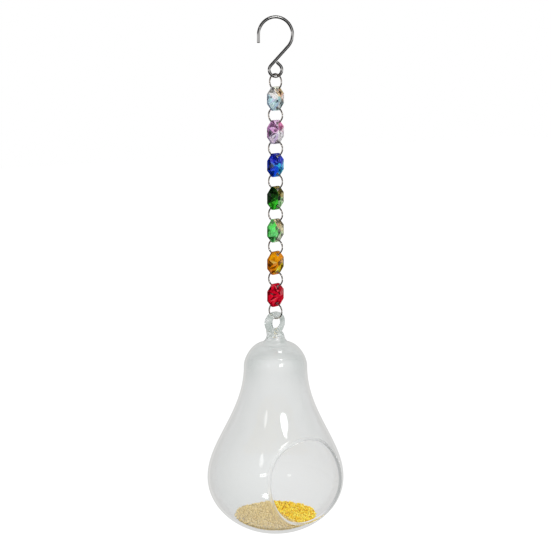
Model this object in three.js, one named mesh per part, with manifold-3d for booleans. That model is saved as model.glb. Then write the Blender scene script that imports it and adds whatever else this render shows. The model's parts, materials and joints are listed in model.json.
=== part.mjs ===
// Hanging glass bird feeder: an S-hook, a chain of two-hole crystal beads on split rings, and a
// blown glass pear with a round feeding hole in its side and seed in its bottom.
// Millimetres, +Z up. The origin is where the hook's crook bears on its branch. The hole faces -Y.
import * as THREE from "three";
import { ConvexGeometry } from "three/addons/geometries/ConvexGeometry.js";
import { mergeVertices } from "three/addons/utils/BufferGeometryUtils.js";
import Module from "manifold-3d";

// S-hook, one bent wire
const hookWire = 1.8;
const crookInside = 18.6;
const crookTip = 4.8;
const eyeInside = 5.8;
const shankRise = 6.5;
const tailGap = 0.3;

// Split rings
const ringWire = 0.9;
const ringInside = 8.4;
const ringSplit = 0.3;
const seatGap = 0.1;

// Two-hole octagon beads: the edge, then a crown and a table that rise from it on both faces
const beadFlats = 14;
const beadEdge = 1.4;
const beadCrownRadius = 4.2;
const beadCrownRise = 1.3;
const beadTableRadius = 1.6;
const beadTableRise = 0.9;
const holeMargin = 1.7;
const holePlay = 0.9;

// Hanging loop and neck nub, solid glass
const loopRod = 3.9;
const loopHole = 6.5;
const nubRadius = 5.7;
const nubHeight = 7.3;
const nubShoulder = 1.8;
const nubCap = 1;

// Blown glass pear
const pearHeight = 117;
const bellyRadius = 41.9;
const bellyHeight = 33;
const shoulderRadius = 19.3;
const shoulderDrop = 14;
const baseRadius = 8;
const crownRadius = 8.5;
const glassWall = 1.6;

// How full each stretch of the pear's curve is, as the share of its span that the handle reaches
const baseFullness = 0.35;
const bellyLowFullness = 0.625;
const bellyHighFullness = 0.31;
const neckFullness = 0.42;
const shoulderFullness = 0.37;
const crownFullness = 0.5;

// Feeding hole and its fire-polished lip
const mouthRadius = 26;
const mouthRise = 4.5;
const lipSwell = 0.2;

// Seed lying in the pear, parted along an upright cylinder
const seedDepth = 7;
const seedCrown = 0.6;
const seedFit = 0.3;
const seedHeap = 0.9;
const seedHeapPitch = 7.1;
const seedPartingRadius = 57.5;
const seedPartingX = 58.9;
const seedPartingY = -12.6;

// Degrees that each piece is turned about the vertical, from facing -Y
const hookTurn = -23;
const firstRingTurn = -77;
const ringTurn = -63;
const lastRingTurn = -70;
const beadTurn = 15;

// Facets
const wireSides = 8;
const hookSteps = 64;
const ringSteps = 26;
const holeSides = 12;
const latheSides = 48;
const curveSteps = 8;
const mergeDistance = 1e-4;

const beads = [
  { name: "bead_1_clear", colour: 0xd9d6dc },
  { name: "bead_2_pink", colour: 0xb9799c },
  { name: "bead_3_blue", colour: 0x2c4fae },
  { name: "bead_4_green", colour: 0x1f4d2c },
  { name: "bead_5_light_green", colour: 0x8fae6a },
  { name: "bead_6_amber", colour: 0xd08a1c },
  { name: "bead_7_red", colour: 0xa3141f },
];

const wasm = await Module();
wasm.setup();

// Solids, materials and named pieces

function solidOf(geometry) {
  const bare = new THREE.BufferGeometry();
  bare.setAttribute("position", geometry.getAttribute("position"));
  bare.setIndex(geometry.index);
  const merged = mergeVertices(bare, mergeDistance);
  return new wasm.Manifold(
    new wasm.Mesh({
      numProp: 3,
      vertProperties: new Float32Array(merged.getAttribute("position").array),
      triVerts: new Uint32Array(merged.index.array),
    }),
  );
}

function geometryOf(solid) {
  const mesh = solid.getMesh();
  const geometry = new THREE.BufferGeometry();
  geometry.setAttribute("position", new THREE.BufferAttribute(mesh.vertProperties, 3));
  geometry.setIndex(new THREE.BufferAttribute(mesh.triVerts, 1));
  return geometry;
}

function materialOf(colour, roughness, metalness) {
  return new THREE.MeshStandardMaterial({ color: colour, roughness, metalness });
}

function glassOf(colour, opacity) {
  const glass = materialOf(colour, 0.04, 0);
  glass.transparent = true;
  glass.opacity = opacity;
  return glass;
}

function pieceOf(name, geometry, material, z = 0, turn = 0) {
  const piece = new THREE.Mesh(geometry, material);
  piece.name = name;
  piece.position.z = z;
  piece.rotation.z = THREE.MathUtils.degToRad(turn);
  return piece;
}

// Forms that several pieces share

// An arc of wire in the XZ plane, round a point on the Z axis.
class WireArc extends THREE.Curve {
  constructor(centreZ, radius, start, turn) {
    super();
    Object.assign(this, { centreZ, radius, start, turn });
  }

  getPoint(share, target = new THREE.Vector3()) {
    const angle = this.start + share * this.turn;
    const x = this.radius * Math.cos(angle);
    return target.set(x, 0, this.centreZ + this.radius * Math.sin(angle));
  }
}

function wireAlong(path, diameter, steps) {
  const section = new THREE.Shape().absarc(0, 0, diameter / 2, 0, 2 * Math.PI);
  return new THREE.ExtrudeGeometry(section, {
    steps,
    curveSegments: wireSides / 2,
    bevelEnabled: false,
    extrudePath: path,
  });
}

// Turns a profile of (radius, height) points round the Z axis.
function latheUp(points) {
  return new THREE.LatheGeometry(points, latheSides).rotateX(Math.PI / 2);
}

// S-hook: crook, straight shank across the axis, closed eye, and a tail that stops at the shank

const crookRadius = (crookInside + hookWire) / 2;
const eyeRadius = (eyeInside + hookWire) / 2;
const crookToEye = crookRadius + eyeRadius + shankRise;
const crookZ = -crookInside / 2;
const eyeZ = crookZ - crookToEye;

function hookGeometry() {
  const lean = Math.asin((crookRadius + eyeRadius) / crookToEye);
  const crook = new WireArc(crookZ, crookRadius, Math.PI, -Math.PI - lean);
  const eye = new WireArc(eyeZ, eyeRadius, Math.PI - lean, 1.5 * Math.PI);
  const tip = crook.getPoint(0).setZ(crookZ - crookTip);
  const tailLength = eyeRadius - hookWire / 2 - tailGap;
  const tailEnd = eye.getPoint(1).addScaledVector(eye.getTangent(1), tailLength);
  const path = new THREE.CurvePath();
  path.add(new THREE.LineCurve3(tip, crook.getPoint(0)));
  path.add(crook);
  path.add(new THREE.LineCurve3(crook.getPoint(1), eye.getPoint(0)));
  path.add(eye);
  path.add(new THREE.LineCurve3(eye.getPoint(1), tailEnd));
  return wireAlong(path, hookWire, hookSteps);
}

// Split ring, its butt joint at one side

const ringRadius = (ringInside + ringWire) / 2;

function ringGeometry() {
  const gapAngle = ringSplit / ringRadius;
  const arc = new WireArc(0, ringRadius, gapAngle / 2, 2 * Math.PI - gapAngle);
  return wireAlong(arc, ringWire, ringSteps);
}

// Bead: an octagon with flats at its top and bottom, crowned on both faces, with a hole at each end

const holeOffset = beadFlats / 2 - holeMargin;

function octagon(radius, y, firstAngle) {
  return Array.from({ length: 8 }, (_, corner) => {
    const angle = firstAngle + (corner * Math.PI) / 4;
    return new THREE.Vector3(radius * Math.cos(angle), y, radius * Math.sin(angle));
  });
}

function beadGeometry() {
  const halfStep = Math.PI / 8;
  const cornerRadius = beadFlats / 2 / Math.cos(halfStep);
  const crownY = beadEdge / 2 + beadCrownRise;
  const tableY = crownY + beadTableRise;
  const corners = [-1, 1].flatMap((side) => [
    ...octagon(cornerRadius, (side * beadEdge) / 2, halfStep),
    ...octagon(beadCrownRadius, side * crownY, 0),
    ...octagon(beadTableRadius, side * tableY, halfStep),
  ]);
  const holeRadius = (ringWire + holePlay) / 2;
  const drill = new THREE.CylinderGeometry(holeRadius, holeRadius, 3 * tableY, holeSides);
  const lowHole = solidOf(drill.clone().translate(0, 0, -holeOffset));
  const highHole = solidOf(drill.clone().translate(0, 0, holeOffset));
  return geometryOf(solidOf(new ConvexGeometry(corners)).subtract(lowHole).subtract(highHole));
}

// A ring's wire bows as it passes through a hole, so the hole's middle is half the bow from the wire's.
const crownSlope = beadCrownRise / (beadFlats / 2 - beadCrownRadius);
const holeHalfDepth = beadEdge / 2 + crownSlope * holeMargin;
const wireBow = holeHalfDepth ** 2 / (2 * ringRadius);
const ringToHole = ringRadius - wireBow / 2;

// Blown glass pear with its nub, loop, feeding hole and lip, all one piece of glass

// The pear's profile from the base to the crown, on the axis at both ends, set in by a wall.
function pearProfile(inset, baseZ) {
  const bellyZ = baseZ + bellyHeight;
  const shoulderZ = baseZ + pearHeight - shoulderDrop;
  const belly = bellyRadius - inset;
  const shoulder = shoulderRadius - inset;
  const low = baseZ + inset;
  const high = baseZ + pearHeight - inset;
  const path = new THREE.Path();
  path.moveTo(0, low);
  path.lineTo(baseRadius, low);
  path.bezierCurveTo(
    THREE.MathUtils.lerp(baseRadius, belly, baseFullness),
    low,
    belly,
    THREE.MathUtils.lerp(bellyZ, low, bellyLowFullness),
    belly,
    bellyZ,
  );
  path.bezierCurveTo(
    belly,
    THREE.MathUtils.lerp(bellyZ, shoulderZ, bellyHighFullness),
    shoulder,
    THREE.MathUtils.lerp(shoulderZ, bellyZ, neckFullness),
    shoulder,
    shoulderZ,
  );
  path.bezierCurveTo(
    shoulder,
    THREE.MathUtils.lerp(shoulderZ, high, shoulderFullness),
    THREE.MathUtils.lerp(crownRadius, shoulder, crownFullness),
    high,
    crownRadius,
    high,
  );
  path.lineTo(0, high);
  return path.getPoints(curveSteps);
}

// The radius of a profile at a height, between its two nearest points.
function radiusAt(profile, height) {
  const above = profile.findIndex((point) => point.y > height);
  const [low, high] = [profile[above - 1], profile[above]];
  return THREE.MathUtils.mapLinear(height, low.y, high.y, low.x, high.x);
}

// The nub flares out to the crown below and rounds over under the loop above.
function nubProfile(crownZ, rodZ) {
  const rootZ = crownZ - glassWall / 2;
  const shoulderZ = rodZ - nubShoulder;
  const topZ = rodZ + nubCap;
  const path = new THREE.Path();
  path.moveTo(0, rootZ);
  path.lineTo(crownRadius, rootZ);
  path.lineTo(crownRadius, crownZ);
  path.bezierCurveTo(nubRadius, crownZ, nubRadius, crownZ, nubRadius, shoulderZ);
  path.bezierCurveTo(nubRadius, topZ, nubRadius / 2, topZ, 0, topZ);
  return path.getPoints(curveSteps);
}

// A ring of glass round the feeding hole, bent to lie on the middle of the wall.
function lipGeometry(profile, mouthZ) {
  const lip = new THREE.TorusGeometry(mouthRadius, (glassWall + lipSwell) / 2, wireSides, latheSides);
  lip.rotateX(Math.PI / 2);
  const points = lip.getAttribute("position");
  for (let i = 0; i < points.count; i += 1) {
    const angle = Math.atan2(points.getZ(i), points.getX(i));
    const x = mouthRadius * Math.cos(angle);
    const radius = radiusAt(profile, mouthZ + mouthRadius * Math.sin(angle));
    points.setY(i, points.getY(i) - Math.sqrt(radius ** 2 - x ** 2));
  }
  return lip.translate(0, 0, mouthZ);
}

function globeGeometry(loopZ, rodZ, baseZ) {
  const loopRadius = (loopHole + loopRod) / 2;
  const loop = new THREE.TorusGeometry(loopRadius, loopRod / 2, wireSides, latheSides / 2);
  loop.rotateX(Math.PI / 2).translate(0, 0, loopZ);
  const mouthZ = baseZ + bellyHeight + mouthRise;
  const drill = new THREE.CylinderGeometry(mouthRadius, mouthRadius, 2 * bellyRadius, latheSides);
  drill.translate(0, -bellyRadius, mouthZ);
  const lip = lipGeometry(pearProfile(glassWall / 2, baseZ), mouthZ);
  const glass = solidOf(latheUp(pearProfile(0, baseZ)))
    .add(solidOf(latheUp(nubProfile(baseZ + pearHeight, rodZ))))
    .add(solidOf(loop))
    .subtract(solidOf(latheUp(pearProfile(glassWall, baseZ))))
    .subtract(solidOf(drill))
    .add(solidOf(lip));
  return geometryOf(glass);
}

// Seed: the pear's inside up to a low mound with small heaps all over it, parted in two

// A block whose top rises to a mound in the middle, with heaps on every other crossing of a square grid.
function moundGeometry(baseZ) {
  const topZ = baseZ + glassWall + seedDepth;
  const step = seedHeapPitch / Math.SQRT2;
  const steps = 2 * Math.ceil(bellyRadius / step);
  const block = new THREE.BoxGeometry(steps * step, steps * step, pearHeight, steps, steps);
  const points = block.getAttribute("position");
  for (let i = 0; i < points.count; i += 1) {
    const [x, y] = [points.getX(i), points.getY(i)];
    const moundZ = topZ - seedCrown * (Math.hypot(x, y) / bellyRadius) ** 2;
    const heap = Math.cos((Math.PI * x) / step) * Math.cos((Math.PI * y) / step);
    points.setZ(i, points.getZ(i) > 0 ? moundZ + (seedHeap / 2) * heap : baseZ);
  }
  return block;
}

function seedSolid(baseZ) {
  const inside = solidOf(latheUp(pearProfile(glassWall + seedFit, baseZ)));
  return inside.intersect(solidOf(moundGeometry(baseZ)));
}

function partingCylinder(radius, baseZ) {
  const cylinder = new THREE.CylinderGeometry(radius, radius, pearHeight, 2 * latheSides);
  cylinder.rotateX(Math.PI / 2).translate(seedPartingX, seedPartingY, baseZ);
  return solidOf(cylinder);
}

// The assembly, hung from the hook down

const feeder = new THREE.Group();
const steel = materialOf(0xb9bcc0, 0.15, 1);
const nickel = materialOf(0x8d8780, 0.3, 1);
feeder.add(pieceOf("s_hook", hookGeometry(), steel, 0, hookTurn));

function addRing(number, z, turn) {
  feeder.add(pieceOf("jump_ring_" + number, ringGeometry(), nickel, z, turn));
}

let ringZ = eyeZ - eyeRadius + (hookWire + ringWire) / 2 + seatGap - ringRadius;
addRing(1, ringZ, firstRingTurn);
beads.forEach(({ name, colour }, index) => {
  const beadZ = ringZ - ringToHole - holeOffset;
  feeder.add(pieceOf(name, beadGeometry(), glassOf(colour, 0.85), beadZ, beadTurn));
  ringZ = beadZ - holeOffset - ringToHole;
  addRing(index + 2, ringZ, index + 1 < beads.length ? ringTurn : lastRingTurn);
});

const loopZ = ringZ - ringRadius + ringWire / 2 + seatGap - loopHole / 2;
const rodZ = loopZ - (loopHole + loopRod) / 2;
const baseZ = rodZ - nubHeight - pearHeight;
feeder.add(pieceOf("glass_globe", globeGeometry(loopZ, rodZ, baseZ), glassOf(0xdfe4e4, 0.3)));

const seed = seedSolid(baseZ);
const millet = seed.subtract(partingCylinder(seedPartingRadius + seedFit, baseZ));
const yellow = seed.intersect(partingCylinder(seedPartingRadius, baseZ));
feeder.add(pieceOf("millet_bed", geometryOf(millet), materialOf(0xcdbe8c, 0.8, 0)));
feeder.add(pieceOf("yellow_seed", geometryOf(yellow), materialOf(0xf0cd46, 0.8, 0)));

export default feeder;
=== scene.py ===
"""Looks of the hanging glass bird feeder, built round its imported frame. Metres, +Z up."""

import json
import math
import random

import bmesh
import bpy
import numpy as np
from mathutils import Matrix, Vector


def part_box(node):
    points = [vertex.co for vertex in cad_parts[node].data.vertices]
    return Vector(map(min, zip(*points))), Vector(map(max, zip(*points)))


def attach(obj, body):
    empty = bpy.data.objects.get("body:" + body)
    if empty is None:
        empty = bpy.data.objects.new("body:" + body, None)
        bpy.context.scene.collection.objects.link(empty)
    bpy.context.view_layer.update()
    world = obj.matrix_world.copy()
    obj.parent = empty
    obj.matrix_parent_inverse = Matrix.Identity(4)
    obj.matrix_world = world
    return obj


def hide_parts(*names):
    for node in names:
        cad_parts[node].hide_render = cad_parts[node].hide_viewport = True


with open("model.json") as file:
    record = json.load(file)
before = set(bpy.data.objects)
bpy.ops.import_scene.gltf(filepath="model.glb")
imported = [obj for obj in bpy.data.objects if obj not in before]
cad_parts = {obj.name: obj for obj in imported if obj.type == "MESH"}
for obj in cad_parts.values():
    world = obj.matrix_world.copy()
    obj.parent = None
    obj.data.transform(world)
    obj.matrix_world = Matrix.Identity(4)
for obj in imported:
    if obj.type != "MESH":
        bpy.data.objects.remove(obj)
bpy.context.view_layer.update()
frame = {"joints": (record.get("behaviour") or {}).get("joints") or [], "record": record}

MM = 0.001
FULL_TURN = 2 * math.pi

# Sizes of the construction, in metres
HOOK_WIRE = 1.8 * MM
CROOK_INSIDE = 18.6 * MM
CROOK_TIP = 4.8 * MM
EYE_INSIDE = 5.8 * MM
SHANK_RISE = 6.5 * MM
TAIL_GAP = 0.3 * MM
RING_WIRE = 0.9 * MM
RING_INSIDE = 8.4 * MM
RING_SPLIT = 0.3 * MM
BEAD_FLATS = 14 * MM
BEAD_EDGE = 1.4 * MM
BEAD_CROWN_RADIUS = 4.2 * MM
BEAD_CROWN_RISE = 1.3 * MM
BEAD_TABLE_RADIUS = 1.6 * MM
BEAD_TABLE_RISE = 0.9 * MM
HOLE_MARGIN = 1.7 * MM
HOLE_PLAY = 0.9 * MM
LOOP_ROD = 3.9 * MM
LOOP_HOLE = 6.5 * MM
NUB_HEIGHT = 7.3 * MM
NUB_CAP = 1 * MM
PEAR_HEIGHT = 117 * MM
BELLY_RADIUS = 41.9 * MM
BELLY_HEIGHT = 33 * MM
SHOULDER_RADIUS = 19.3 * MM
SHOULDER_DROP = 14 * MM
BASE_RADIUS = 8 * MM
CROWN_RADIUS = 8.5 * MM
GLASS_WALL = 1.6 * MM
MOUTH_RADIUS = 26 * MM
MOUTH_RISE = 4.5 * MM
LIP = 1.8 * MM
SEED_DEPTH = 7 * MM
SEED_CROWN = 0.6 * MM
SEED_FIT = 0.3 * MM
PARTING_RADIUS = 57.5 * MM
PARTING_CENTRE = Vector((58.9 * MM, -12.6 * MM))

# What the finish adds: holes that clear the rounded wires, softened edges and rounded wire ends
HOLE_POLISH = 0.1 * MM
FACET_BEVEL = 0.07 * MM
HOOK_END = 0.35 * MM
RING_END = 0.12 * MM

# How full each stretch of the pear's curve is, as in the construction
BASE_FULLNESS = 0.35
BELLY_LOW_FULLNESS = 0.625
BELLY_HIGH_FULLNESS = 0.31
NECK_FULLNESS = 0.42
SHOULDER_FULLNESS = 0.37
CROWN_FULLNESS = 0.5

# Places read from the frame
BASE_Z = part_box("glass_globe")[0].z
BELLY_Z = BASE_Z + BELLY_HEIGHT
CROWN_Z = BASE_Z + PEAR_HEIGHT
MOUTH_Z = BELLY_Z + MOUTH_RISE
ROD_Z = CROWN_Z + NUB_HEIGHT
LOOP_Z = ROD_Z + (LOOP_HOLE + LOOP_ROD) / 2
JOINTS = {joint["child"]: joint for joint in frame["joints"]}

# The camera of the photograph
CAMERA_AZIMUTH = -35
CAMERA_DISTANCE = 0.9
CAMERA_HEIGHT = 6 * MM
CAMERA_PITCH = 10
CAMERA_LENS = 99.1
CAMERA_SENSOR = 36

RINGS = ["jump_ring_%d" % number for number in range(1, 9)]

# Each bead's coat with painted light: its body colour, painted shade at the top left, bright side at the
# lower right and sheen at the upper right, and its share of painted dark facets
BEAD_COATS_AND_PAINTED_LIGHT = {
    "bead_1_clear": [(0.5, 0.72, 0.95), (0.86, 0.87, 0.9), (0.7, 0.98, 1.0), (0.8, 0.5, 0.3), 0.05],
    "bead_2_pink": [(0.85, 0.7, 1.0), (0.95, 0.45, 0.92), (1.0, 0.95, 1.0), (0.85, 0.27, 0.5), 0.08],
    "bead_3_blue": [(0.01, 0.08, 1.0), (0.01, 0.02, 0.45), (0.03, 0.45, 1.0), (0.02, 0.05, 0.55), 0.16],
    "bead_4_green": [(0.04, 0.62, 0.025), (0.005, 0.05, 0.005), (0.5, 1.0, 0.4), (0.34, 0.28, 0.06), 0.2],
    "bead_5_light_green": [(0.15, 0.85, 0.2), (0.1, 0.8, 0.12), (0.9, 1.0, 0.65), (0.65, 0.52, 0.28), 0.12],
    "bead_6_amber": [(1.0, 0.26, 0.002), (1.0, 0.34, 0.003), (1.0, 0.62, 0.02), (0.9, 0.29, 0.005), 0.15],
    "bead_7_red": [(0.95, 0.004, 0.03), (0.9, 0.004, 0.03), (0.9, 0.004, 0.03), (0.6, 0.002, 0.02), 0.17],
}
BEADS = list(BEAD_COATS_AND_PAINTED_LIGHT)


# Helpers for objects and meshes


def link(name, mesh):
    """Makes an object of a mesh and puts it in the scene."""
    piece = bpy.data.objects.new(name, mesh)
    bpy.context.scene.collection.objects.link(piece)
    return piece


def mesh_of(name, points, faces, smooth=True):
    mesh = bpy.data.meshes.new(name)
    mesh.from_pydata([tuple(p) for p in points], [], faces)
    mesh.update()
    mesh.polygons.foreach_set("use_smooth", [smooth] * len(mesh.polygons))
    return mesh


def apply_modifiers(piece):
    """Bakes a piece's modifiers into a mesh of its own."""
    graph = bpy.context.evaluated_depsgraph_get()
    mesh = bpy.data.meshes.new_from_object(piece.evaluated_get(graph))
    piece.modifiers.clear()
    piece.data = mesh


def combine(piece, tool, operation):
    """Joins a closed tool to a closed piece, or cuts the piece with it, and removes the tool."""
    modifier = piece.modifiers.new("combine", "BOOLEAN")
    modifier.operation = operation
    modifier.solver = "MANIFOLD"
    modifier.object = tool
    apply_modifiers(piece)
    bpy.data.objects.remove(tool)


def dress(piece, body, nodes, material):
    """Gives a piece its look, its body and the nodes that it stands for."""
    piece.data.materials.clear()
    piece.data.materials.append(material)
    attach(piece, body)
    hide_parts(*nodes)


def facing(child):
    """A hinge's axis, turned to face -Y, as an angle about Z from -Y."""
    x, y, _ = JOINTS[child]["axis"]
    return math.atan2(x, -y) if y < 0 else math.atan2(-x, y)


def hinge_z(child):
    return JOINTS[child]["pos_m"][2]


def lerp(a, b, share):
    return a + (b - a) * share


def bezier(p0, p1, p2, p3, steps):
    """Points along a cubic curve, without its first one."""
    share = np.linspace(0, 1, steps + 1)[1:, None]
    p0, p1, p2, p3 = (np.array(p) for p in (p0, p1, p2, p3))
    rest = 1 - share
    return rest**3 * p0 + 3 * rest**2 * share * p1 + 3 * rest * share**2 * p2 + share**3 * p3


# Helpers for materials


def greys(stops):
    """Grey colours for a ramp, from positions and levels."""
    return [(position, (level, level, level)) for position, level in stops]


class Nodes:
    """Builds the node tree of a material or a world in a few words."""

    def __init__(self, owner, output="OutputMaterial"):
        self.owner = owner
        self.owner.use_nodes = True
        self.tree = self.owner.node_tree
        self.tree.nodes.clear()
        self.output = self.add(output)

    def add(self, kind, settings=None, **inputs):
        node = self.tree.nodes.new("ShaderNode" + kind)
        for key, value in (settings or {}).items():
            setattr(node, key, value)
        for key, value in inputs.items():
            self.put(node.inputs[key.replace("_", " ")], value)
        return node

    def put(self, socket, value):
        if isinstance(value, bpy.types.NodeSocket):
            self.tree.links.new(value, socket)
        else:
            socket.default_value = value

    def ramp(self, factor, stops):
        node = self.add("ValToRGB", Fac=factor)
        elements = node.color_ramp.elements
        while len(elements) < len(stops):
            elements.new(0.5)
        for element, (position, colour) in zip(elements, stops):
            element.position = position
            element.color = (*colour, 1)
        return node.outputs["Color"]

    def noise(self, scale, detail=2, roughness=0.5, distortion=0):
        place = self.add("TexCoord").outputs["Object"]
        return self.add(
            "TexNoise", Vector=place, Scale=scale, Detail=detail, Roughness=roughness, Distortion=distortion
        ).outputs["Fac"]

    def between(self, factor, low, high, start=0.0):
        """Goes from low to high while the factor goes from start to 1."""
        node = self.add("MapRange", Value=factor)
        node.inputs["From Min"].default_value = start
        node.inputs["To Min"].default_value = low
        node.inputs["To Max"].default_value = high
        return node.outputs["Result"]

    def smooth_step(self, value, low, high):
        node = self.add("MapRange", {"interpolation_type": "SMOOTHSTEP"}, Value=value)
        self.put(node.inputs["From Min"], low)
        self.put(node.inputs["From Max"], high)
        return node.outputs["Result"]

    def maths(self, operation, first, second):
        node = self.add("Math", {"operation": operation})
        self.put(node.inputs[0], first)
        self.put(node.inputs[1], second)
        return node.outputs["Value"]

    def vector(self, operation, *values):
        node = self.add("VectorMath", {"operation": operation})
        for socket, value in zip(node.inputs, values):
            self.put(socket, value)
        return node.outputs

    def edge_on(self):
        """Goes from 0 where the surface is met squarely to 1 where it is met edge on."""
        return self.add("LayerWeight", Blend=0.5).outputs["Facing"]

    def mix(self, blend, factor, first, second):
        node = self.add("Mix", {"data_type": "RGBA", "blend_type": blend})
        self.put(node.inputs["Factor"], factor)
        self.put(node.inputs[6], first)
        self.put(node.inputs[7], second)
        return node.outputs[2]

    def bump(self, height, strength, distance):
        return self.add("Bump", Height=height, Strength=strength, Distance=distance).outputs["Normal"]

    def choose(self, share, otherwise, chosen):
        """Mixes two shaders, where a share of 1 gives the chosen one."""
        node = self.add("MixShader", Fac=share)
        self.put(node.inputs[1], otherwise)
        self.put(node.inputs[2], chosen)
        return node.outputs["Shader"]

    def finish(self, surface):
        self.put(self.output.inputs["Surface"], surface)
        return self.owner


def metal_material(name, bright, dull, roughness, grain):
    """Drawn wire: a bright metal with fine draw marks and a little tarnish."""
    nodes = Nodes(bpy.data.materials.new(name))
    tarnish = nodes.noise(260, detail=4, roughness=0.6)
    marks = nodes.noise(1900, distortion=0.4)
    shader = nodes.add(
        "BsdfPrincipled",
        Base_Color=nodes.ramp(tarnish, [(0.3, dull), (0.6, bright)]),
        Roughness=nodes.between(marks, roughness * 0.7, roughness * 1.3),
        Metallic=1.0,
        Normal=nodes.bump(marks, strength=grain, distance=0.01 * MM),
    )
    return nodes.finish(shader.outputs["BSDF"])


# Heights where the wall thickens into the nub and where painted shade greys the dome, with that shade's
# depth and the slants over which it grows
THICK_FROM = CROWN_Z - 1.5 * MM
THICK_TO = CROWN_Z + 4 * MM
DOME_FROM = CROWN_Z - 30 * MM
DOME_TO = CROWN_Z - 6 * MM
DOME_PAINTED_SHADE = 0.25
DOME_SLANTS = (-0.03, 0.28)

# How the folds of the thick glass stretch its depth, and how much they stand out
FOLD_DEPTHS = (-1.1, 2.4)
FOLD_STRENGTH = 0.16

# The lip: how far round the mouth it fades out, the front half it lies on, its satin and the side where
# painted shade darkens it
LIP_FADE = (MOUTH_RADIUS + 0.9 * MM, MOUTH_RADIUS + 0.1 * MM)
FRONT_Y = -10 * MM
LIP_SATIN = 0.35
LIP_SHADE_SIDE = (0.3 * MOUTH_RADIUS, 0.95 * MOUTH_RADIUS)

# Slants between which the wall thins to a film, met from outside and from inside it
LIMB_OUTSIDE = (0.45, 0.72)
LIMB_INSIDE = (0.2, 0.26)

# Tints of thin and thick glass, of the film over thick glass and dome shade, and painted shade on film seen
# leaving and on the lip
THIN_GLASS = (0.978, 0.987, 0.984)
THICK_GLASS = (0.56, 0.62, 0.59)
THICK_FILM = (0.84, 0.86, 0.85)
LEAVING_FILM_SHADE = (0.7, 0.7, 0.69)
LIP_SHADE_GREY = (0.42, 0.44, 0.43, 1)

# Tint of light that passes straight through
PASSING_LIGHT = (0.97, 0.98, 0.98, 1)

# Levels of a wall met at a growing slant, partly for a longer way through the glass and partly painted shade
SLANT_LEVELS = [(0.0, 1.0), (0.1, 0.98), (0.25, 0.95), (0.4, 0.93), (1.0, 0.93)]


def clear_where(nodes, share, shader, tint):
    """Lets a share of the light straight through a shader, tinted."""
    film = nodes.add("BsdfTransparent", Color=tint)
    return nodes.choose(share, shader, film.outputs["BSDF"])


def through_light(nodes, shader, tint):
    """Lets lamps and bounced light pass straight through a glass shader."""
    path = nodes.add("LightPath").outputs
    passing = nodes.maths("MAXIMUM", path["Is Shadow Ray"], path["Is Diffuse Ray"])
    return clear_where(nodes, passing, shader, tint)


def slant(nodes, strength):
    """Grey where the wall is met at a slant: partly a longer way through the wall, partly painted shade."""
    return nodes.ramp(nodes.edge_on(), greys([(place, level**strength) for place, level in SLANT_LEVELS]))


def soft_limb(nodes, shader, thick, depth):
    """Thins the wall to a film where it is met edge on, or from inside it where it would mirror, greyed by
    painted shade.
    """
    inside = nodes.add("NewGeometry").outputs["Backfacing"]
    limb_from, limb_to = (nodes.between(inside, *pair) for pair in zip(LIMB_OUTSIDE, LIMB_INSIDE))
    limb = nodes.smooth_step(nodes.edge_on(), limb_from, limb_to)
    share = nodes.maths("MULTIPLY", limb, nodes.maths("SUBTRACT", 1.0, thick))
    place = nodes.add("TexCoord").outputs
    from_axis = nodes.vector("MULTIPLY", place["Object"], (1, 1, 0))["Vector"]
    outward = nodes.vector("DOT_PRODUCT", from_axis, place["Normal"])["Value"]
    leaving = nodes.maths("MULTIPLY", inside, nodes.maths("LESS_THAN", outward, 0.0))
    # Painted shade: the film is darker where the camera sees light leave the glass through it
    seen = nodes.maths("MULTIPLY", leaving, nodes.add("LightPath").outputs["Is Camera Ray"])
    tint = nodes.ramp(seen, [(0, (1, 1, 1)), (1, LEAVING_FILM_SHADE)])
    tint = nodes.mix("MULTIPLY", 1.0, tint, slant(nodes, 0.5))
    # The film takes the thick glass tint and the dome's painted shade
    deeper = nodes.ramp(depth, [(0, (1, 1, 1)), (1, THICK_FILM)])
    return clear_where(nodes, share, shader, nodes.mix("MULTIPLY", 1.0, tint, deeper))


def lip_share(nodes, place, axes):
    """Where the lip runs round the mouth, on the front of the globe."""
    from_mouth = nodes.vector("MULTIPLY_ADD", place, (1, 0, 1), (0, 0, -MOUTH_Z))["Vector"]
    distance = nodes.vector("LENGTH", from_mouth)["Value"]
    near = nodes.smooth_step(distance, *LIP_FADE)
    return nodes.maths("MULTIPLY", near, nodes.maths("LESS_THAN", axes["Y"], FRONT_Y))


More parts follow.
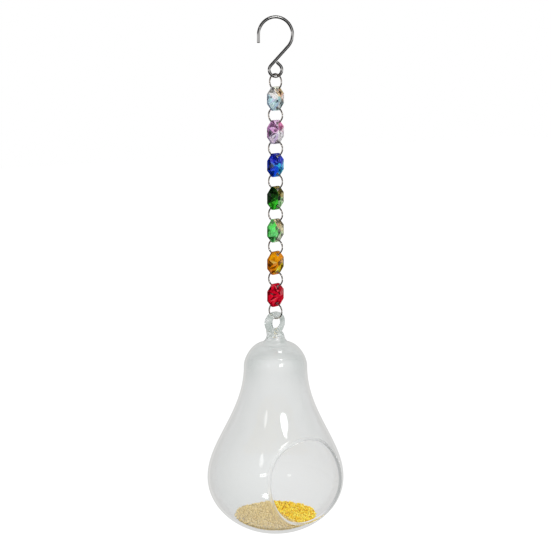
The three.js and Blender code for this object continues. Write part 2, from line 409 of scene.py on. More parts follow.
def blown_glass_material():
    """Clear blown glass: a slow ripple, a grey-green tint where it is thick at the top, painted shade on the
    dome and on one side of the lip, and a satin lip.
    """
    nodes = Nodes(bpy.data.materials.new("blown_glass"))
    place = nodes.add("TexCoord").outputs["Object"]
    axes = nodes.add("SeparateXYZ", Vector=place).outputs
    thick = nodes.smooth_step(axes["Z"], THICK_FROM, THICK_TO)
    folds = nodes.noise(170, detail=1, distortion=1.2)
    tinted = nodes.maths("MULTIPLY", thick, nodes.between(folds, *FOLD_DEPTHS))
    # Painted shade on the dome, darker towards its crown and its sides; the depth below takes thick glass or
    # this painted shade
    dome = nodes.between(nodes.smooth_step(axes["Z"], DOME_FROM, DOME_TO), 0.0, DOME_PAINTED_SHADE)
    painted_dome_shade = nodes.maths("MULTIPLY", dome, nodes.smooth_step(nodes.edge_on(), *DOME_SLANTS))
    depth = nodes.maths("MAXIMUM", tinted, painted_dome_shade)
    ripple = nodes.bump(nodes.noise(22, detail=1), strength=0.012, distance=2 * MM)
    worked = nodes.add("Bump", Height=folds, Distance=1.2 * MM, Normal=ripple)
    nodes.put(worked.inputs["Strength"], nodes.between(thick, 0.0, FOLD_STRENGTH))
    lip = lip_share(nodes, place, axes)
    # Painted shade: the lip is darker grey on its +X side
    sideways = nodes.smooth_step(axes["X"], *LIP_SHADE_SIDE)
    lip_painted_shade = nodes.maths("MULTIPLY", lip, sideways)
    tint = nodes.ramp(depth, [(0, THIN_GLASS), (1, THICK_GLASS)])
    tint = nodes.mix("MULTIPLY", 1.0, tint, slant(nodes, 1))
    shader = nodes.add(
        "BsdfPrincipled",
        Base_Color=nodes.mix("MIX", lip_painted_shade, tint, LIP_SHADE_GREY),
        Roughness=nodes.between(lip, 0.0, LIP_SATIN),
        IOR=1.5,
        Transmission_Weight=nodes.between(thick, 0.95, 0.86),
        Normal=worked.outputs["Normal"],
    )
    edged = soft_limb(nodes, shader.outputs["BSDF"], nodes.maths("MAXIMUM", thick, lip), depth)
    return nodes.finish(through_light(nodes, edged, PASSING_LIGHT))


# Cells of painted shade and glints that break up a bead's facets: how many in a metre, their levels, and how
# white a painted glint can get
CELLS_PER_METRE = 560
CELL_LEVELS = [(0.0, 0.1), (0.13, 0.35), (0.28, 0.8), (0.45, 1.0)]
GLINT_FROM = 0.84
GLINT = 0.1


def crystal_material(name, shift):
    """Coated lead crystal: each facet has its own colour, broken into cells of painted shade and painted
    glints.
    """
    nodes = Nodes(bpy.data.materials.new(name))
    facet = nodes.add("Attribute", {"attribute_name": "facet"}).outputs["Color"]
    place = nodes.vector("ADD", nodes.add("TexCoord").outputs["Object"], (shift, shift, shift))["Vector"]
    cells = nodes.add("TexVoronoi", Vector=place, Scale=CELLS_PER_METRE).outputs["Color"]
    chance = nodes.add("SeparateColor", Color=cells).outputs
    painted_cell_shade = nodes.mix("MULTIPLY", 1.0, facet, nodes.ramp(chance["Red"], greys(CELL_LEVELS)))
    glint = nodes.between(chance["Green"], 0.0, GLINT, start=GLINT_FROM)
    shader = nodes.add(
        "BsdfPrincipled",
        Base_Color=nodes.mix("MIX", glint, painted_cell_shade, (1, 1, 1, 1)),
        Roughness=0.03,
        IOR=1.32,
        Specular_Tint=nodes.mix("MIX", 0.2, facet, (1, 1, 1, 1)),
        Transmission_Weight=0.45,
    )
    return nodes.finish(shader.outputs["BSDF"])


def grain_material(name, roughness):
    """Husked seed: each grain has its own colour, mottled by a fine noise."""
    nodes = Nodes(bpy.data.materials.new(name))
    husk = nodes.add("Attribute", {"attribute_name": "husk"}).outputs["Color"]
    fine = nodes.noise(900, detail=3, roughness=0.6)
    mottle = nodes.ramp(fine, [(0.3, (0.78, 0.74, 0.68)), (0.65, (1, 1, 1))])
    shader = nodes.add(
        "BsdfPrincipled",
        Base_Color=nodes.mix("MULTIPLY", 1.0, husk, mottle),
        Roughness=roughness,
        Normal=nodes.bump(nodes.noise(2600), strength=0.3, distance=0.1 * MM),
    )
    return nodes.finish(shader.outputs["BSDF"])


# Wire pieces

# How finely the wires are divided, round them and along each stretch
HOOK_SIDES = 24
CROOK_STEPS = 96
EYE_STEPS = 64
TIP_STEPS = 8
SHANK_STEPS = 24
TAIL_STEPS = 6
RING_SIDES = 16
RING_STEPS = 72
CAP_STEPS = 4


def straight(start, end, steps):
    """Points from one place to another, both included."""
    return [start.lerp(end, i / steps) for i in range(steps + 1)]


def arc_points(centre_z, radius, start, turn, steps):
    """Points of an arc in the XZ plane, round a point on the Z axis."""
    angles = [start + turn * i / steps for i in range(steps + 1)]
    return [Vector((radius * math.cos(a), 0, centre_z + radius * math.sin(a))) for a in angles]


def wire_mesh(name, points, diameter, sides, rounding):
    """A round wire along a path in the XZ plane, with both ends rounded over."""
    radius = diameter / 2
    across = Vector((0, 1, 0))
    count = len(points)
    tangents = []
    for i in range(count):
        ahead = points[min(i + 1, count - 1)]
        behind = points[max(i - 1, 0)]
        tangents.append((ahead - behind).normalized())

    def cap(place, tangent, inward):
        rounded = []
        for k in range(CAP_STEPS):
            turn = k / CAP_STEPS * math.pi / 2
            centre = place + inward * tangent * rounding * (1 - math.cos(turn))
            rounded.append((centre, tangent, radius - rounding * (1 - math.sin(turn))))
        return rounded

    rings = cap(points[0], tangents[0], 1)
    for place, tangent in zip(points, tangents):
        if min((place - points[0]).length, (place - points[-1]).length) > rounding:
            rings.append((place, tangent, radius))
    rings += reversed(cap(points[-1], tangents[-1], -1))
    verts = []
    for centre, tangent, size in rings:
        side = tangent.cross(across)
        for k in range(sides):
            angle = FULL_TURN * k / sides
            verts.append(centre + size * (math.cos(angle) * across + math.sin(angle) * side))
    faces = []
    for i in range(len(rings) - 1):
        for k in range(sides):
            low, high = i * sides, (i + 1) * sides
            following = (k + 1) % sides
            faces.append((low + k, low + following, high + following, high + k))
    last = (len(rings) - 1) * sides
    faces.append(tuple(reversed(range(sides))))
    faces.append(tuple(last + k for k in range(sides)))
    return mesh_of(name, verts, faces)


def make_hook():
    """One bent wire, from the crook's tip to the eye's tail. The first ring's axis lies in its plane."""
    crook_radius = (CROOK_INSIDE + HOOK_WIRE) / 2
    eye_radius = (EYE_INSIDE + HOOK_WIRE) / 2
    reach = crook_radius + eye_radius + SHANK_RISE
    crook_z = -CROOK_INSIDE / 2
    eye_z = crook_z - reach
    lean = math.asin((crook_radius + eye_radius) / reach)
    crook = arc_points(crook_z, crook_radius, math.pi, -math.pi - lean, CROOK_STEPS)
    eye = arc_points(eye_z, eye_radius, math.pi - lean, 1.5 * math.pi, EYE_STEPS)
    tip = crook[0] - Vector((0, 0, CROOK_TIP))
    tail_direction = Vector((-math.cos(lean), 0, math.sin(lean)))
    tail = eye[-1] + tail_direction * (eye_radius - HOOK_WIRE / 2 - TAIL_GAP)
    path = straight(tip, crook[0], TIP_STEPS)[:-1]
    path += crook
    path += straight(crook[-1], eye[0], SHANK_STEPS)[1:-1]
    path += eye
    path += straight(eye[-1], tail, TAIL_STEPS)[1:]
    piece = link("hook_wire", wire_mesh("hook_wire", path, HOOK_WIRE, HOOK_SIDES, HOOK_END))
    x, y, _ = JOINTS["jump_ring_1"]["axis"]
    piece.rotation_euler.z = math.atan2(y, x) if x > 0 else math.atan2(-y, -x)
    bright, dull = (0.68, 0.67, 0.66), (0.52, 0.51, 0.5)
    steel = metal_material("polished_steel", bright, dull, roughness=0.06, grain=0.03)
    dress(piece, "hook", ["s_hook"], steel)


def make_rings():
    """Eight split rings, each round the hinge of the piece that hangs from it."""
    bright, dull = (0.74, 0.67, 0.61), (0.52, 0.46, 0.41)
    nickel = metal_material("nickel_wire", bright, dull, roughness=0.16, grain=0.05)
    radius = (RING_INSIDE + RING_WIRE) / 2
    gap = RING_SPLIT / radius
    path = arc_points(0, radius, gap / 2, FULL_TURN - gap, RING_STEPS)
    for ring, below in zip(RINGS, BEADS + ["globe"]):
        piece = link(ring + "_wire", wire_mesh(ring + "_wire", path, RING_WIRE, RING_SIDES, RING_END))
        piece.location.z = hinge_z(below)
        piece.rotation_euler.z = facing(below)
        dress(piece, ring, [ring], nickel)


# Crystal beads

DRILL_SIDES = 28

# Facets that turn less than this to the front are the rim, and less still, close to a hole, its wall
RIM_TURN = 0.3
HOLE_TURN = 0.1
HOLE_REACH = 1.05

# How facets are coated and painted with light: how far a patch of colour strays, the share of painted light
# ones and the least that differs
PATCH_SPREAD = 1.2 * MM
LIGHT_FACETS = 0.1
LEAST_FACET = 0.6 * MM * MM

# Painted shade of rim and dark facets, painted lift and white of light ones, and spread of the others' shade
# and hue
RIM_SHADE = 0.5
DARK_SHADE = 0.2
LIGHT_LIFT = 1.7
LIGHT_WHITE = 0.1
SHADE_SPREAD = (0.85, 1.4)
HUE_SPREAD = (0.85, 1.15)


def octagon(radius, y, first_angle):
    """Corners of an octagon square to Y."""
    angles = [first_angle + k * math.pi / 4 for k in range(8)]
    return [Vector((radius * math.cos(a), y, radius * math.sin(a))) for a in angles]


def bead_mesh(name):
    """A crowned octagon with softened facet edges and a drilled hole at each end."""
    half_step = math.pi / 8
    crown_y = BEAD_EDGE / 2 + BEAD_CROWN_RISE
    table_y = crown_y + BEAD_TABLE_RISE
    work = bmesh.new()
    for side in (-1, 1):
        corners = octagon(BEAD_FLATS / 2 / math.cos(half_step), side * BEAD_EDGE / 2, half_step)
        corners += octagon(BEAD_CROWN_RADIUS, side * crown_y, 0)
        corners += octagon(BEAD_TABLE_RADIUS, side * table_y, half_step)
        for corner in corners:
            work.verts.new(corner)
    bmesh.ops.convex_hull(work, input=work.verts)
    bmesh.ops.dissolve_limit(work, angle_limit=0.01, verts=work.verts, edges=work.edges)
    bmesh.ops.bevel(work, geom=list(work.edges), offset=FACET_BEVEL, segments=1, affect="EDGES")
    bmesh.ops.recalc_face_normals(work, faces=work.faces)
    mesh = bpy.data.meshes.new(name)
    work.to_mesh(mesh)
    work.free()
    return mesh


def drill(piece, z, radius, depth):
    """Cuts a round hole through the middle of a piece, along Y."""
    work = bmesh.new()
    bmesh.ops.create_cone(
        work, cap_ends=True, segments=DRILL_SIDES, radius1=radius, radius2=radius, depth=depth
    )
    turn = Vector((0, 0, 1)).rotation_difference(Vector((0, 1, 0)))
    bmesh.ops.rotate(work, verts=work.verts, matrix=turn.to_matrix())
    bmesh.ops.translate(work, verts=work.verts, vec=(0, 0, z))
    mesh = bpy.data.meshes.new("drill")
    work.to_mesh(mesh)
    work.free()
    combine(piece, link("drill", mesh), "DIFFERENCE")


def paint_facets_with_light(mesh, coat_and_light, seed, hole_offset, hole_radius):
    """Colours each facet by where it lies with painted shade, sheen and brightness, paints some much darker
    or lighter, and paints the hole walls white as a highlight.
    """
    chance = random.Random(seed)
    body, shade, bright, painted_sheen = (np.array(colour) for colour in coat_and_light[:4])
    dark_share = coat_and_light[4]
    layer = mesh.color_attributes.new("facet", "FLOAT_COLOR", "CORNER")
    facets = {}
    for face in mesh.polygons:
        facets.setdefault(tuple(round(part, 2) for part in face.normal), []).append(face)
    for normal in sorted(facets):
        faces = facets[normal]
        area = sum(face.area for face in faces)
        centre = sum((face.center * face.area for face in faces), Vector()) / area
        # Painted light by place: shade at the top left, sheen at the top right, brightness at the lower
        # right, body colour at the lower left
        left = centre.x + chance.gauss(0, PATCH_SPREAD) < 0
        high = centre.z + chance.gauss(0, PATCH_SPREAD) > 0
        if high:
            colour = shade if left else painted_sheen
        else:
            colour = body if left else bright
        kind = chance.random()
        # Painted shade on the rim and on dark facets, painted glints on light ones
        if abs(normal[1]) < RIM_TURN:
            colour = colour * RIM_SHADE
        elif area > LEAST_FACET and kind < dark_share:
            colour = colour * DARK_SHADE
        elif area > LEAST_FACET and kind > 1 - LIGHT_FACETS:
            colour = lerp(np.minimum(colour * LIGHT_LIFT, 1), np.ones(3), LIGHT_WHITE)
        elif area > LEAST_FACET:
            level = chance.uniform(*SHADE_SPREAD)
            colour = colour * level * [chance.uniform(*HUE_SPREAD) for _ in range(3)]
        for face in faces:
            # The hole walls are painted white, a painted highlight
            from_hole = math.hypot(face.center.x, abs(face.center.z) - hole_offset)
            in_hole = from_hole < HOLE_REACH * hole_radius and abs(normal[1]) < HOLE_TURN
            shown = np.ones(3) if in_hole else np.clip(colour, 0, 1)
            for corner in face.loop_indices:
                layer.data[corner].color = (*shown, 1)


def make_beads():
    """Seven drilled beads, coated and painted with light, each with its lower hole at the hinge of the ring
    below.
    """
    hole_offset = BEAD_FLATS / 2 - HOLE_MARGIN
    hole_radius = (RING_WIRE + HOLE_PLAY) / 2 + HOLE_POLISH
    slots = {part["node"]: part["material_slot"] for part in frame["record"]["subparts"]}
    for number, (bead, coat_and_light) in enumerate(BEAD_COATS_AND_PAINTED_LIGHT.items()):
        ring_below = RINGS[number + 1]
        piece = link(bead + "_crystal", bead_mesh(bead + "_crystal"))
        for end in (-1, 1):
            drill(piece, end * hole_offset, hole_radius, BEAD_FLATS)
        paint_facets_with_light(piece.data, coat_and_light, number, hole_offset, hole_radius)
        piece.data.polygons.foreach_set("use_smooth", [False] * len(piece.data.polygons))
        piece.location.z = hinge_z(ring_below) + hole_offset
        piece.rotation_euler.z = facing(ring_below)
        dress(piece, bead, [bead], crystal_material(slots[bead], number * BEAD_FLATS))


# Blown glass pear

# How finely the pear's curves and flats are divided
PEAR_STEPS = 40
FLAT_STEPS = 6

# How far the lip's round section turns each way, in degrees
LIP_SPREAD = 100
LIP_STEPS = 12

# How uneven the loop's rod is from one side to the other, and how deep its twisted grooves are
ROD_UNEVEN = 0.22
ROD_GROOVE = 0.07

# Half widths and heights that draw the nub's two curves, from its foot to its waist and on to its top
NUB_FOOT = (11.2 * MM, CROWN_Z - 1.25 * MM)
NUB_FLARE_LOW = (8.6 * MM, CROWN_Z - 0.15 * MM)
NUB_FLARE_HIGH = (6 * MM, CROWN_Z + 1.2 * MM)
NUB_WAIST = (5.4 * MM, CROWN_Z + 4.4 * MM)
NUB_NECK = (5.1 * MM, ROD_Z - 0.6 * MM)
NUB_TOP = (3.6 * MM, ROD_Z + NUB_CAP)
NUB_SIDES = 72

# The strand of glass run down the loop's left side
STRAND_FOOT = Vector((-3.4 * MM, 0, CROWN_Z - 0.5 * MM))
STRAND_HEAD = Vector((-5 * MM, 0, LOOP_Z - 1 * MM))
STRAND_END = 1.2 * MM

# How finely the loop and the strand are divided, and all of it is melted together
STRAND_STEPS = 12
ROD_SIDES = 40
LOOP_STEPS = 120
MELT_VOXEL = 0.22 * MM
MELT_PASSES = 30


def pear_profile(inset):
    """Radius and height of the pear's wall from the base to the crown, on the axis at both ends."""
    shoulder_z = CROWN_Z - SHOULDER_DROP
    belly = BELLY_RADIUS - inset
    shoulder = SHOULDER_RADIUS - inset
    low = BASE_Z + inset
    high = CROWN_Z - inset
    base = [(BASE_RADIUS * k / FLAT_STEPS, low) for k in range(FLAT_STEPS + 1)]
    under = bezier(
        (BASE_RADIUS, low),
        (lerp(BASE_RADIUS, belly, BASE_FULLNESS), low),
        (belly, lerp(BELLY_Z, low, BELLY_LOW_FULLNESS)),
        (belly, BELLY_Z),
        PEAR_STEPS,
    )
    flank = bezier(
        (belly, BELLY_Z),
        (belly, lerp(BELLY_Z, shoulder_z, BELLY_HIGH_FULLNESS)),
        (shoulder, lerp(shoulder_z, BELLY_Z, NECK_FULLNESS)),
        (shoulder, shoulder_z),
        2 * PEAR_STEPS,
    )
    crown = 0 if inset else CROWN_RADIUS
    dome = bezier(
        (shoulder, shoulder_z),
        (shoulder, lerp(shoulder_z, high, SHOULDER_FULLNESS)),
        (lerp(CROWN_RADIUS, shoulder, CROWN_FULLNESS), high),
        (crown, high),
        PEAR_STEPS // 2,
    )
    flat = [(crown * k / FLAT_STEPS, high) for k in reversed(range(FLAT_STEPS))] if crown else []
    return np.vstack([base, under, flank, dome, *([flat] if crown else [])])


class WallBuilder:
    """Collects the points and faces of the glass wall, outer and inner, with a round mouth left in each."""

    COLUMNS = 180
    MOUTH_COLUMNS = 27
    MOUTH_MARGIN = 5 * MM
    MOUTH_RINGS = 9
    LIP_START = 0.75 * LIP

    def __init__(self, outer_profile):
        self.points = []
        self.faces = []
        self.angles = None
        reach = MOUTH_RADIUS + self.MOUTH_MARGIN
        heights = outer_profile[:, 1]
        self.bottom = int(np.argmin(np.abs(heights - (MOUTH_Z - reach))))
        self.top = int(np.argmin(np.abs(heights - (MOUTH_Z + reach))))

    def add(self, point):
        self.points.append(point)
        return len(self.points) - 1

    def face(self, corners, flip):
        self.faces.append(tuple(reversed(corners)) if flip else tuple(corners))

    def surface(self, profile, flip):
        """One wall surface. Returns the loop of points round its mouth."""
        half = self.COLUMNS // 2
        last = len(profile) - 1
        side = self.MOUTH_COLUMNS
        bottom, top = self.bottom, self.top
        grid = {}
        for row, (radius, z) in enumerate(profile):
            if row in (0, last):
                pole = self.add((0, 0, z))
                for column in range(-half, half):
                    grid[row, column] = pole
                continue
            for column in range(-half, half):
                if bottom < row < top and -side < column < side:
                    continue
                angle = FULL_TURN * column / self.COLUMNS
                grid[row, column] = self.add((radius * math.sin(angle), -radius * math.cos(angle), z))
        for row in range(last):
            for column in range(-half, half):
                if bottom <= row < top and -side <= column < side:
                    continue
                following = column + 1 if column + 1 < half else -half
                low = [grid[row, column], grid[row, following]]
                high = [grid[row + 1, following], grid[row + 1, column]]
                self.face(list(dict.fromkeys(low + high)), flip)
        frame_loop = [grid[bottom, c] for c in range(-side, side)]
        frame_loop += [grid[r, side] for r in range(bottom, top)]
        frame_loop += [grid[top, c] for c in range(side, -side, -1)]
        frame_loop += [grid[r, -side] for r in range(top, bottom, -1)]
        return self.mouth_rings(profile, frame_loop, flip)

    def mouth_rings(self, profile, frame_loop, flip):
        """Fills from the square frame in to a round loop just outside the lip."""
        heights, radii = rising(profile)
        rim_radius = MOUTH_RADIUS + self.LIP_START
        corners = [self.points[index] for index in frame_loop]
        if self.angles is None:
            self.angles = [math.atan2(z - MOUTH_Z, x) for x, _, z in corners]
        previous = frame_loop
        for ring in range(1, self.MOUTH_RINGS + 1):
            share = ring / self.MOUTH_RINGS
            loop = []
            for (x, _, z), angle in zip(corners, self.angles):
                x = lerp(x, rim_radius * math.cos(angle), share)
                z = lerp(z, MOUTH_Z + rim_radius * math.sin(angle), share)
                radius = np.interp(z, heights, radii)
                loop.append(self.add((x, -math.sqrt(radius**2 - x**2), z)))
            self.bridge(previous, loop, flip)
            previous = loop
        return previous

    def bridge(self, outer, inner, flip):
        count = len(outer)
        for k in range(count):
            following = (k + 1) % count
            self.face([outer[k], outer[following], inner[following], inner[k]], flip)


def rising(profile):
    """Heights and radii of the stretch of a profile that climbs, for looking a radius up by height."""
    climbing = np.concatenate([[True], np.diff(profile[:, 1]) > 1e-9])
    return profile[climbing, 1], profile[climbing, 0]


def add_lip(wall, outer_loop, inner_loop, middle):
    """Rounds the mouth over from the outer wall to the inner one, as a fire-polished lip."""
    heights, radii = rising(middle)
    lip_radius = LIP / 2
    spread = math.radians(LIP_SPREAD)
    tilt = math.asin(MOUTH_RADIUS / BELLY_RADIUS)
    previous = outer_loop
    for step in range(LIP_STEPS + 1):
        loop = []
        for angle in wall.angles:
            outward = np.array([math.cos(angle), 0, math.sin(angle)])
            centre = np.array([0, 0, MOUTH_Z]) + MOUTH_RADIUS * outward
            radius = np.interp(centre[2], heights, radii)
            centre[1] = -math.sqrt(radius**2 - centre[0] ** 2)
            turn = math.pi - tilt - spread + 2 * spread * step / LIP_STEPS
            reach = math.cos(turn) * outward - math.sin(turn) * np.array([0, 1, 0])
            loop.append(wall.add(tuple(centre + lip_radius * reach)))
        wall.bridge(previous, loop, False)
        previous = loop
    wall.bridge(previous, inner_loop, False)


def lathe_mesh(name, profile, sides):
    """Turns a profile round the Z axis. Its first and last points are on the axis."""
    points = [(0, 0, profile[0][1])]
    for radius, z in profile[1:-1]:
        for k in range(sides):
            angle = FULL_TURN * k / sides
            points.append((radius * math.cos(angle), radius * math.sin(angle), z))
    points.append((0, 0, profile[-1][1]))
    top = len(points) - 1
    faces = []
    for k in range(sides):
        following = (k + 1) % sides
        faces.append((0, 1 + following, 1 + k))
        for ring in range(len(profile) - 3):
            low = 1 + ring * sides
            faces.append((low + k, low + following, low + sides + following, low + sides + k))
        high = 1 + (len(profile) - 3) * sides
        faces.append((high + k, high + following, top))
    return mesh_of(name, points, faces)


def loop_mesh(name):
    """The hanging loop: a ring of twisted rod, drawn a little thicker on one side as hot glass is."""
    sides, steps = ROD_SIDES, LOOP_STEPS
    middle = (LOOP_HOLE + LOOP_ROD) / 2
    points = []
    for step in range(steps):
        angle = FULL_TURN * step / steps
        rod = LOOP_ROD / 2 * (1 - ROD_UNEVEN * math.cos(angle) * abs(math.cos(angle)))
        for k in range(sides):
            turn = FULL_TURN * k / sides
            groove = rod * (1 + ROD_GROOVE * math.cos(3 * turn + 2 * angle))
            reach = middle + groove * math.cos(turn)
            x, z = reach * math.cos(angle), LOOP_Z + reach * math.sin(angle)
            points.append((x, groove * math.sin(turn), z))
    faces = []
    for step in range(steps):
        for k in range(sides):
            here, there = step * sides, (step + 1) % steps * sides
            following = (k + 1) % sides
            faces.append((here + k, here + following, there + following, there + k))
    return mesh_of(name, points, faces)


def make_nub():
    """The solid nub, loop and strand, melted together so that they run into each other."""
    root_z = CROWN_Z - GLASS_WALL / 2
    flare = bezier(NUB_FOOT, NUB_FLARE_LOW, NUB_FLARE_HIGH, NUB_WAIST, steps=16)
    cap = bezier(NUB_WAIST, NUB_NECK, NUB_TOP, (0, NUB_TOP[1]), steps=12)
    profile = np.vstack([[(0, root_z), (CROWN_RADIUS, root_z), NUB_FOOT], flare, cap])
    nub = link("nub", lathe_mesh("nub", profile, NUB_SIDES))
    combine(nub, link("loop", loop_mesh("loop")), "UNION")
    path = straight(STRAND_FOOT, STRAND_HEAD, STRAND_STEPS)
    combine(nub, link("strand", wire_mesh("strand", path, LOOP_ROD, ROD_SIDES, STRAND_END)), "UNION")
    melt = nub.modifiers.new("melt", "REMESH")
    melt.mode = "VOXEL"
    melt.voxel_size = MELT_VOXEL
    soften = nub.modifiers.new("soften", "SMOOTH")
    soften.factor = 0.5
    soften.iterations = MELT_PASSES
    apply_modifiers(nub)
    return nub


def make_globe():
    """The blown pear with its lip, and the melted nub fused on top."""
    outer = pear_profile(0)
    wall = WallBuilder(outer)
    outer_loop = wall.surface(outer, False)
    inner_loop = wall.surface(pear_profile(GLASS_WALL), True)
    add_lip(wall, outer_loop, inner_loop, pear_profile(GLASS_WALL / 2))
    piece = link("globe_glass", mesh_of("globe_glass", wall.points, wall.faces))
    combine(piece, make_nub(), "UNION")
    piece.data.polygons.foreach_set("use_smooth", [True] * len(piece.data.polygons))
    dress(piece, "globe", ["glass_globe"], blown_glass_material())


# Seed

# A grain's size and shape, how sizes and tilts vary, and how far apart grains and rows lie
GRAIN = 1.4 * MM
GRAIN_SHAPE = (1.05, 0.9, 0.78)
GRAIN_SIZES = (0.86, 1.08)
GRAIN_TIP = 0.45
GRAIN_PITCH = 0.9 * GRAIN
ROW_PITCH = 0.87

# In grains: how far they stray, how far they rise or sink, and how the lower layer is shifted and sunk
GRAIN_STRAY = 0.16
GRAIN_RISE = (-0.16, 0.1)
LAYER_SHIFT = (0.37, 0.29)
LAYER_DROP = 0.62

# In grains: how far inside the glass they lie, how far below the rim the outer ones end, and how they stray
GLASS_INSET = 0.42
RIM_STOP = 0.3
RING_STRAY = 0.2
SLOPE_STEP = 0.1 * MM

# How often each husk colour comes, how far a grain's shade varies, and the colours of both lots
HUSK_WEIGHTS = (5, 4, 3, 1)
HUSK_SHADES = (0.9, 1.1)
TAN_HUSKS = [(0.79, 0.6, 0.22), (0.84, 0.66, 0.29), (0.72, 0.53, 0.18), (0.61, 0.42, 0.13)]
YELLOW_HUSKS = [(0.98, 0.7, 0.04), (1.0, 0.82, 0.13), (0.88, 0.52, 0.02), (0.66, 0.34, 0.01)]


def grain_template():
    """Points and faces of a round grain."""
    work = bmesh.new()
    bmesh.ops.create_icosphere(work, subdivisions=1, radius=GRAIN / 2)
    points = np.array([v.co for v in work.verts])
    faces = [tuple(v.index for v in f.verts) for f in work.faces]
    work.free()
    return points, faces


def pushed_in(profile, distance):
    """A profile moved square to itself towards the inside."""
    along = np.gradient(profile, axis=0)
    inward = np.stack([-along[:, 1], along[:, 0]], axis=1)
    return profile + distance * inward / np.linalg.norm(inward, axis=1)[:, None]


def grain_places(chance):
    """Middles of the grains that show: two staggered layers on top, and one against the glass all round."""
    heights, radii = rising(pushed_in(pear_profile(GLASS_WALL), SEED_FIT + GLASS_INSET * GRAIN))
    rim_z = BASE_Z + GLASS_WALL + SEED_DEPTH
    rim_reach = np.interp(rim_z, heights, radii)
    places = []
    rows = int(rim_reach / GRAIN_PITCH) + 1
    for layer in range(2):
        for row in range(-rows, rows + 1):
            for column in range(-rows, rows + 1):
                x = (column + 0.5 * (row % 2) + LAYER_SHIFT[0] * layer) * GRAIN_PITCH
                y = (row + LAYER_SHIFT[1] * layer) * GRAIN_PITCH * ROW_PITCH
                x += chance.gauss(0, GRAIN_STRAY) * GRAIN
                y += chance.gauss(0, GRAIN_STRAY) * GRAIN
                out = math.hypot(x, y)
                crown = SEED_CROWN * (1 - (out / rim_reach) ** 2)
                z = rim_z + crown + chance.uniform(*GRAIN_RISE) * GRAIN - layer * GRAIN * LAYER_DROP
                if out < np.interp(z, heights, radii):
                    places.append((x, y, z))
    z = heights[0]
    while z < rim_z - RIM_STOP * GRAIN:
        reach = np.interp(z, heights, radii)
        count = max(int(FULL_TURN * reach / GRAIN_PITCH), 1)
        for k in range(count):
            angle = FULL_TURN * (k + chance.uniform(-RING_STRAY, RING_STRAY)) / count
            places.append((reach * math.cos(angle), reach * math.sin(angle), z))
        slope = (np.interp(z + SLOPE_STEP, heights, radii) - reach) / SLOPE_STEP
        z += GRAIN_PITCH / math.hypot(1, slope)
    return places


def tumbled(shape, tip, spin):
    """A grain's points, tipped about Y and then spun about Z."""
    x, y, z = shape.T
    along = x * math.cos(tip) - z * math.sin(tip)
    up = x * math.sin(tip) + z * math.cos(tip)
    east = along * math.cos(spin) - y * math.sin(spin)
    north = along * math.sin(spin) + y * math.cos(spin)
    return np.stack([east, north, up], axis=1)


def make_seed():
    """Grains with a colour each, yellow inside the parting curve and tan outside. The glass mirrors none."""
    chance = random.Random(7)
    template, template_faces = grain_template()
    lots = {
        "millet_bed": ("millet_grains", "tan_millet", TAN_HUSKS),
        "yellow_seed": ("yellow_grains", "yellow_millet", YELLOW_HUSKS),
    }
    built = {node: ([], [], []) for node in lots}
    for x, y, z in grain_places(chance):
        inside = (Vector((x, y)) - PARTING_CENTRE).length < PARTING_RADIUS
        node = "yellow_seed" if inside else "millet_bed"
        points, faces, colours = built[node]
        spin = chance.uniform(0, FULL_TURN)
        tip = chance.gauss(0, GRAIN_TIP)
        size = chance.uniform(*GRAIN_SIZES)
        shape = tumbled(template * np.array(GRAIN_SHAPE) * size, tip, spin)
        first = len(points)
        points.extend(map(tuple, shape + np.array([x, y, z])))
        faces.extend(tuple(first + i for i in face) for face in template_faces)
        husk = chance.choices(lots[node][2], weights=HUSK_WEIGHTS)[0]
        shade = chance.uniform(*HUSK_SHADES)
        colours.extend([tuple(min(c * shade, 1) for c in husk)] * len(template))
    for node, (name, slot, _) in lots.items():
        points, faces, colours = built[node]
        mesh = mesh_of(name, points, faces)
        layer = mesh.color_attributes.new("husk", "FLOAT_COLOR", "POINT")
        layer.data.foreach_set("color", np.array([(*c, 1) for c in colours]).ravel())
        piece = link(name, mesh)
        piece.visible_glossy = False
        dress(piece, "globe", [node], grain_material(slot, roughness=0.55))


# Camera, light and ground

LAMPS_FACE_Z = BELLY_Z + 80 * MM

# The floor: how far out it is dark and then light to metal, and its levels for each kind of ray
FLOOR_DROP = 0.45
FLOOR_HALF = 6.0
DARK_FLOOR = 2.6
LIGHT_FLOOR = 4.6
METAL_DARK = 0.01
METAL_LIGHT = 0.85
FLOOR_PALE = 0.9
FLOOR_SEEN = 0.95
FLOOR_THROUGH_GLASS = 0.685
FLOOR_SHADOW = 0.135
GLASS_MIRRORS = 0.4

# Levels of the surround at heights from straight down, 0, to straight up, 1
FILL_LEVELS = [(0.0, 0.62), (0.5, 0.62), (1.0, 0.7)]
METAL_LEVELS = [(0.0, 0.01), (0.4, 0.02), (0.43, 0.85), (0.5, 0.6), (0.54, 0.12), (1.0, 0.02)]
MIRROR_LEVELS = [(0.0, GLASS_MIRRORS), (1.0, GLASS_MIRRORS)]
THROUGH_LEVELS = [(0.0, 0.75), (0.72, 0.75), (0.9, 0.61), (1.0, 0.51)]


def around(azimuth, elevation, distance, centre):
    """A place round a centre, at angles in degrees."""
    a, e = math.radians(azimuth), math.radians(elevation)
    offset = Vector((math.sin(a) * math.cos(e), -math.cos(a) * math.cos(e), math.sin(e)))
    return centre + offset * distance


def make_camera():
    data = bpy.data.cameras.new("camera")
    data.lens = CAMERA_LENS
    data.sensor_width = CAMERA_SENSOR
    camera = bpy.data.objects.new("camera", data)
    camera.location = around(CAMERA_AZIMUTH, 0, CAMERA_DISTANCE, Vector((0, 0, CAMERA_HEIGHT)))
    camera.rotation_euler = (math.radians(90 - CAMERA_PITCH), 0, math.radians(CAMERA_AZIMUTH))
    bpy.context.scene.collection.objects.link(camera)
    bpy.context.scene.camera = camera


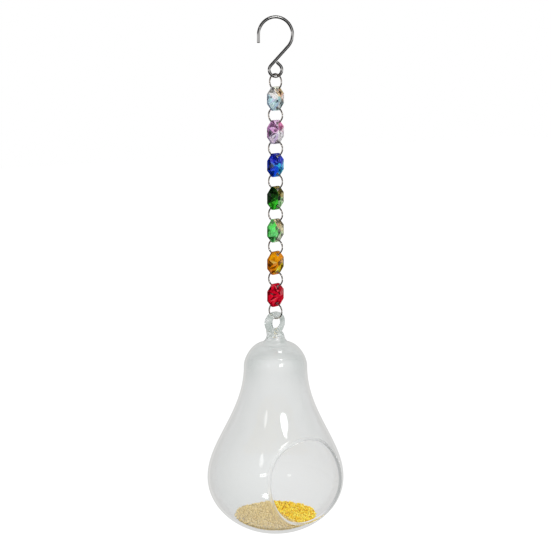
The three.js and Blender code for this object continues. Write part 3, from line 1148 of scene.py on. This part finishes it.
def softbox(name, azimuth, elevation, distance, width, height, power, mirrored=True, only=None):
    """A soft lamp facing the globe, placed round it from the camera's side. It may light one piece only."""
    data = bpy.data.lights.new(name, "AREA")
    data.shape = "ELLIPSE"
    data.size = width
    data.size_y = height
    data.energy = power
    lamp = bpy.data.objects.new(name, data)
    lamp.visible_glossy = mirrored
    lamp.visible_transmission = mirrored
    target = Vector((0, 0, LAMPS_FACE_Z))
    lamp.location = around(CAMERA_AZIMUTH + azimuth, elevation, distance, target)
    lamp.rotation_euler = (target - lamp.location).to_track_quat("-Z", "Y").to_euler()
    bpy.context.scene.collection.objects.link(lamp)
    if only:
        lit = bpy.data.collections.new(name + "_lit")
        lit.objects.link(only)
        lamp.light_linking.receiver_collection = lit


def past_glass(nodes):
    """Marks rays that have come through glass, in their last step or before a mirroring one."""
    path = nodes.add("LightPath").outputs
    earlier = nodes.maths("MINIMUM", path["Transmission Depth"], 1.0)
    mirrored = nodes.maths("MULTIPLY", path["Is Glossy Ray"], earlier)
    return nodes.maths("MAXIMUM", path["Is Transmission Ray"], mirrored)


def make_world():
    """White to sight, pale through glass, grey in smooth glass, dark and light in metal, with even fill."""
    world = bpy.data.worlds.new("studio")
    bpy.context.scene.world = world
    nodes = Nodes(world, "OutputWorld")
    path = nodes.add("LightPath").outputs
    direction = nodes.add("SeparateXYZ", Vector=nodes.add("TexCoord").outputs["Generated"])
    height = nodes.between(direction.outputs["Z"], 0.0, 1.0, start=-1.0)

    def band(levels):
        return nodes.add("Background", Color=nodes.ramp(height, greys(levels))).outputs["Background"]

    shown = band(FILL_LEVELS)
    shown = nodes.choose(path["Is Glossy Ray"], shown, band(METAL_LEVELS))
    shown = nodes.choose(path["Is Singular Ray"], shown, band(MIRROR_LEVELS))
    shown = nodes.choose(past_glass(nodes), shown, band(THROUGH_LEVELS))
    white = nodes.add("Background", Color=(1, 1, 1, 1)).outputs["Background"]
    nodes.finish(nodes.choose(path["Is Camera Ray"], shown, white))


def make_floor():
    """A pale floor well below the hanging globe, white to sight but for the shadow on it."""
    z = BASE_Z - FLOOR_DROP
    corners = [(-1, -1), (1, -1), (1, 1), (-1, 1)]
    points = [(FLOOR_HALF * x, FLOOR_HALF * y, z) for x, y in corners]
    floor = link("floor", mesh_of("floor", points, [(0, 1, 2, 3)], smooth=False))
    nodes = Nodes(bpy.data.materials.new("pale_floor"))
    path = nodes.add("LightPath").outputs
    from_middle = nodes.vector("LENGTH", nodes.add("TexCoord").outputs["Object"])["Value"]
    far = nodes.smooth_step(from_middle, DARK_FLOOR, LIGHT_FLOOR)

    def matt(level):
        return nodes.add("BsdfDiffuse", Color=(level, level, level, 1)).outputs["BSDF"]

    def glow(level):
        return nodes.add("Emission", Color=(1, 1, 1, 1), Strength=level).outputs["Emission"]

    def lit(level):
        """A glow that still takes a little light and shadow."""
        both = nodes.add("AddShader")
        nodes.put(both.inputs[0], glow(level))
        nodes.put(both.inputs[1], matt(FLOOR_SHADOW))
        return both.outputs["Shader"]

    shown = matt(FLOOR_PALE)
    shown = nodes.choose(path["Is Glossy Ray"], shown, glow(nodes.between(far, METAL_DARK, METAL_LIGHT)))
    shown = nodes.choose(path["Is Singular Ray"], shown, glow(GLASS_MIRRORS))
    shown = nodes.choose(past_glass(nodes), shown, lit(FLOOR_THROUGH_GLASS))
    shown = nodes.choose(path["Is Camera Ray"], shown, lit(FLOOR_SEEN))
    floor.data.materials.append(nodes.finish(shown))


def light_studio():
    """A key lamp and a faint side lamp that the glass mirrors, a spark on its dome, and light from above."""
    glass = bpy.data.objects["globe_glass"]
    softbox("key", azimuth=24, elevation=29, distance=1.1, width=0.36, height=0.18, power=1.1)
    softbox("side", azimuth=-28, elevation=27, distance=1.1, width=0.16, height=0.16, power=0.12)
    softbox("spark", azimuth=60, elevation=75, distance=1.0, width=0.2, height=0.2, power=1.1, only=glass)
    softbox("top", azimuth=20, elevation=70, distance=1.0, width=0.6, height=0.6, power=7.3, mirrored=False)


def set_view():
    """Plain view colours, and enough bounces for light to leave the glass."""
    scene = bpy.context.scene
    scene.view_settings.view_transform = "Standard"
    scene.cycles.max_bounces = 32
    scene.cycles.glossy_bounces = 24
    scene.cycles.transmission_bounces = 24


make_camera()
make_hook()
make_rings()
make_beads()
make_globe()
make_seed()
make_floor()
make_world()
light_studio()
set_view()
